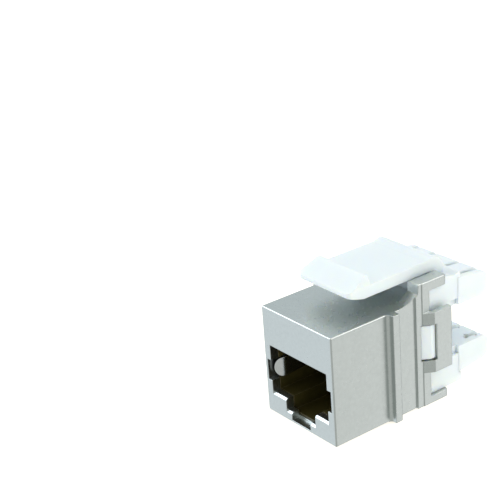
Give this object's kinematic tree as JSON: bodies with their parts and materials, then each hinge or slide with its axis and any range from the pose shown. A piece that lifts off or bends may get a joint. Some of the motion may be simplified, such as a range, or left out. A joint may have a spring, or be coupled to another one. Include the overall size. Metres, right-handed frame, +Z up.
{
  "type": "shielded keystone jack",
  "caption": "Shielded snap-in jack with a modular port in a nickel-plated cast shell, a sprung latch arm on top and white wire combs at the rear.",
  "frame": {"origin": "lower front edge of the port face, on the middle plane, where the jack meets the lower edge of its panel opening", "axes": "+Z up towards the latch arm, +Y from the port face to the wire combs, +X to the right seen from the port side"},
  "size_m": [0.0168, 0.0291, 0.0215],
  "materials": {
    "nickel_cast": "satin nickel plating on a casting",
    "white_plastic": "smooth moulded",
    "black_plastic": "fine moulded",
    "board_green": "solder mask",
    "spring_steel": "bright plated strip",
    "label_print": "printed film",
    "gold_contact": "gold plated",
    "tinned_bronze": "tin plated"
  },
  "bodies": {
    "jack": {"circuit_board": "board_green", "contact_blade_1": "tinned_bronze", "contact_blade_2": "tinned_bronze", "contact_blade_3": "tinned_bronze", "contact_blade_4": "tinned_bronze", "contact_blade_5": "tinned_bronze", "contact_blade_6": "tinned_bronze", "contact_blade_7": "tinned_bronze", "contact_blade_8": "tinned_bronze", "contact_sled": "black_plastic", "contact_spring_1": "gold_contact", "contact_spring_2": "gold_contact", "contact_spring_3": "gold_contact", "contact_spring_4": "gold_contact", "contact_spring_5": "gold_contact", "contact_spring_6": "gold_contact", "contact_spring_7": "gold_contact", "contact_spring_8": "gold_contact", "ground_spring_left": "spring_steel", "ground_spring_right": "spring_steel", "lower_idc_comb": "white_plastic", "rear_housing": "white_plastic", "shell": "nickel_cast", "upper_idc_comb": "white_plastic", "wiring_label_left": "label_print", "wiring_label_right": "label_print"},
    "latch": {"latch_arm": "white_plastic"}
  },
  "joints": [
    {"name": "latch_flex", "type": "hinge", "parent": "jack", "child": "latch", "pos_m": [0, 0.02095, 0.0186], "axis": [1, 0, 0], "range_deg": [0, 7], "stiffness_Nm_per_rad": 0.1}
  ]
}
